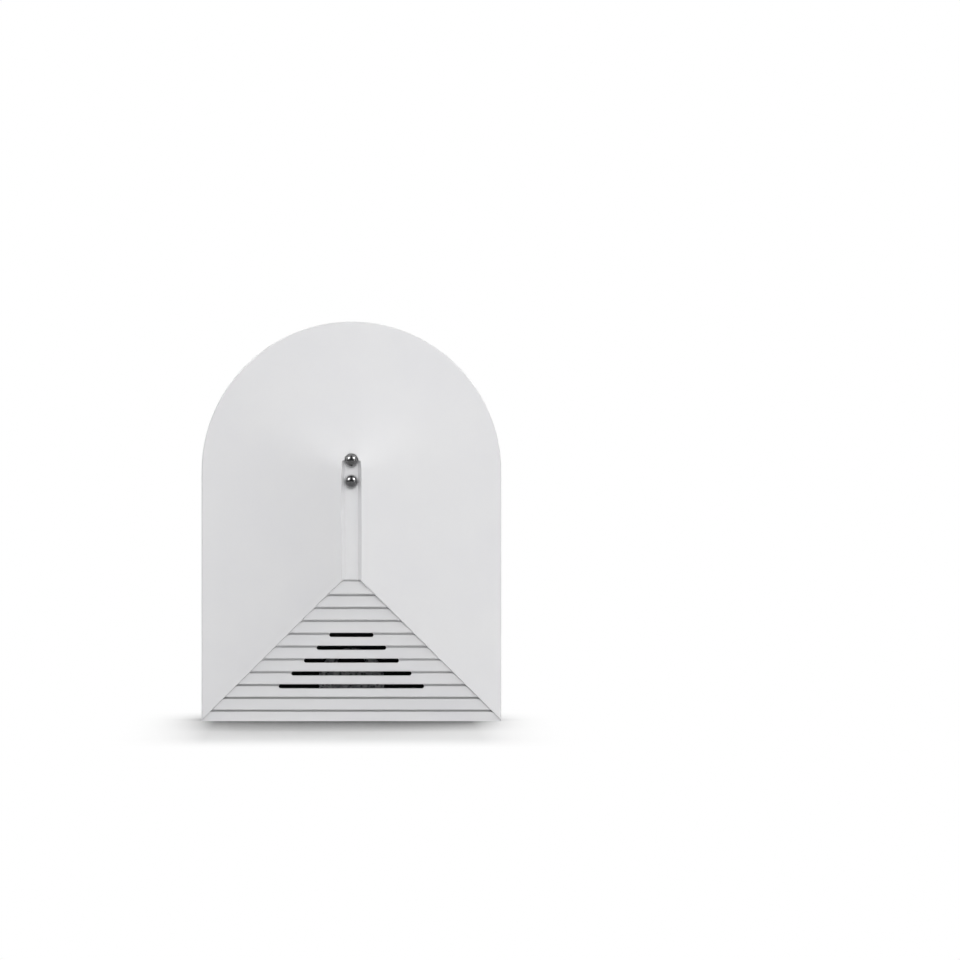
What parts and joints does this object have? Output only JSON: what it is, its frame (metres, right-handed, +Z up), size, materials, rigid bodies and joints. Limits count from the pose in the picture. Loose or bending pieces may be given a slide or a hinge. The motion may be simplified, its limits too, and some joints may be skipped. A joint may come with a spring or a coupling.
{
  "type": "glass break sensor",
  "caption": "Wall-mounted acoustic glass break sensor: arched, ridged cover with a louvred sound grille, indicator lights in a groove, and a circuit board on a snap-in back plate.",
  "frame": {"origin": "middle of the footprint, on the surface that the sensor stands on", "axes": "+Z up, -Y out of the front with the ridge and the louvre, +Y into the wall, +X to the right seen from the front"},
  "size_m": [0.066, 0.025, 0.088],
  "materials": {
    "cover_abs": "fine moulded satin",
    "plate_abs": "fine moulded satin",
    "board_laminate": "black solder mask over glass laminate",
    "smoked_epoxy": "smoked cast dome",
    "spacer_nylon": "natural nylon",
    "tinned_steel": "tinned",
    "zinc_steel": "zinc plated",
    "boot_rubber": "soft grey moulding",
    "capsule_can": "drawn can",
    "black_felt": "pressed felt",
    "terminal_nylon": "moulded",
    "relay_case": "moulded",
    "switch_plastic": "moulded",
    "plunger_plastic": "moulded",
    "jumper_plastic": "moulded",
    "chip_epoxy": "moulded epoxy",
    "crystal_can": "drawn can",
    "varistor_coat": "dipped coat",
    "capacitor_sleeve": "shrink sleeve",
    "chip_ceramic": "sintered ceramic"
  },
  "bodies": {
    "housing": {"front_cover": "cover_abs", "back_plate": "plate_abs", "circuit_board": "board_laminate", "led_upper": "smoked_epoxy", "led_lower": "smoked_epoxy", "led_leads": "tinned_steel", "led_spacer": "spacer_nylon", "mic_boot": "boot_rubber", "mic_capsule": "capsule_can", "mic_felt": "black_felt", "mic_pins": "tinned_steel", "terminal_block": "terminal_nylon", "terminal_screws": "zinc_steel", "terminal_pins": "tinned_steel", "relay": "relay_case", "relay_pins": "tinned_steel", "tamper_switch": "switch_plastic", "tamper_pins": "tinned_steel", "jumper_base": "jumper_plastic", "jumper_pins": "tinned_steel", "jumper_caps": "jumper_plastic", "controller_chip": "chip_epoxy", "controller_legs": "tinned_steel", "amplifier_chip": "chip_epoxy", "amplifier_legs": "tinned_steel", "crystal": "crystal_can", "varistor": "varistor_coat", "regulator": "chip_epoxy", "surge_diodes": "chip_epoxy", "chip_resistors": "chip_epoxy", "chip_capacitors": "chip_ceramic", "reservoir_capacitor": "capacitor_sleeve", "filter_capacitor": "capacitor_sleeve", "coupling_capacitor": "capacitor_sleeve"},
    "plunger": {"tamper_plunger": "plunger_plastic"}
  },
  "joints": [
    {"name": "tamper_press", "type": "slide", "parent": "housing", "child": "plunger", "axis": [0, 1, 0], "range_m": [0, 0.0004], "stiffness_N_per_m": 400, "springref_m": -0.0008}
  ]
}
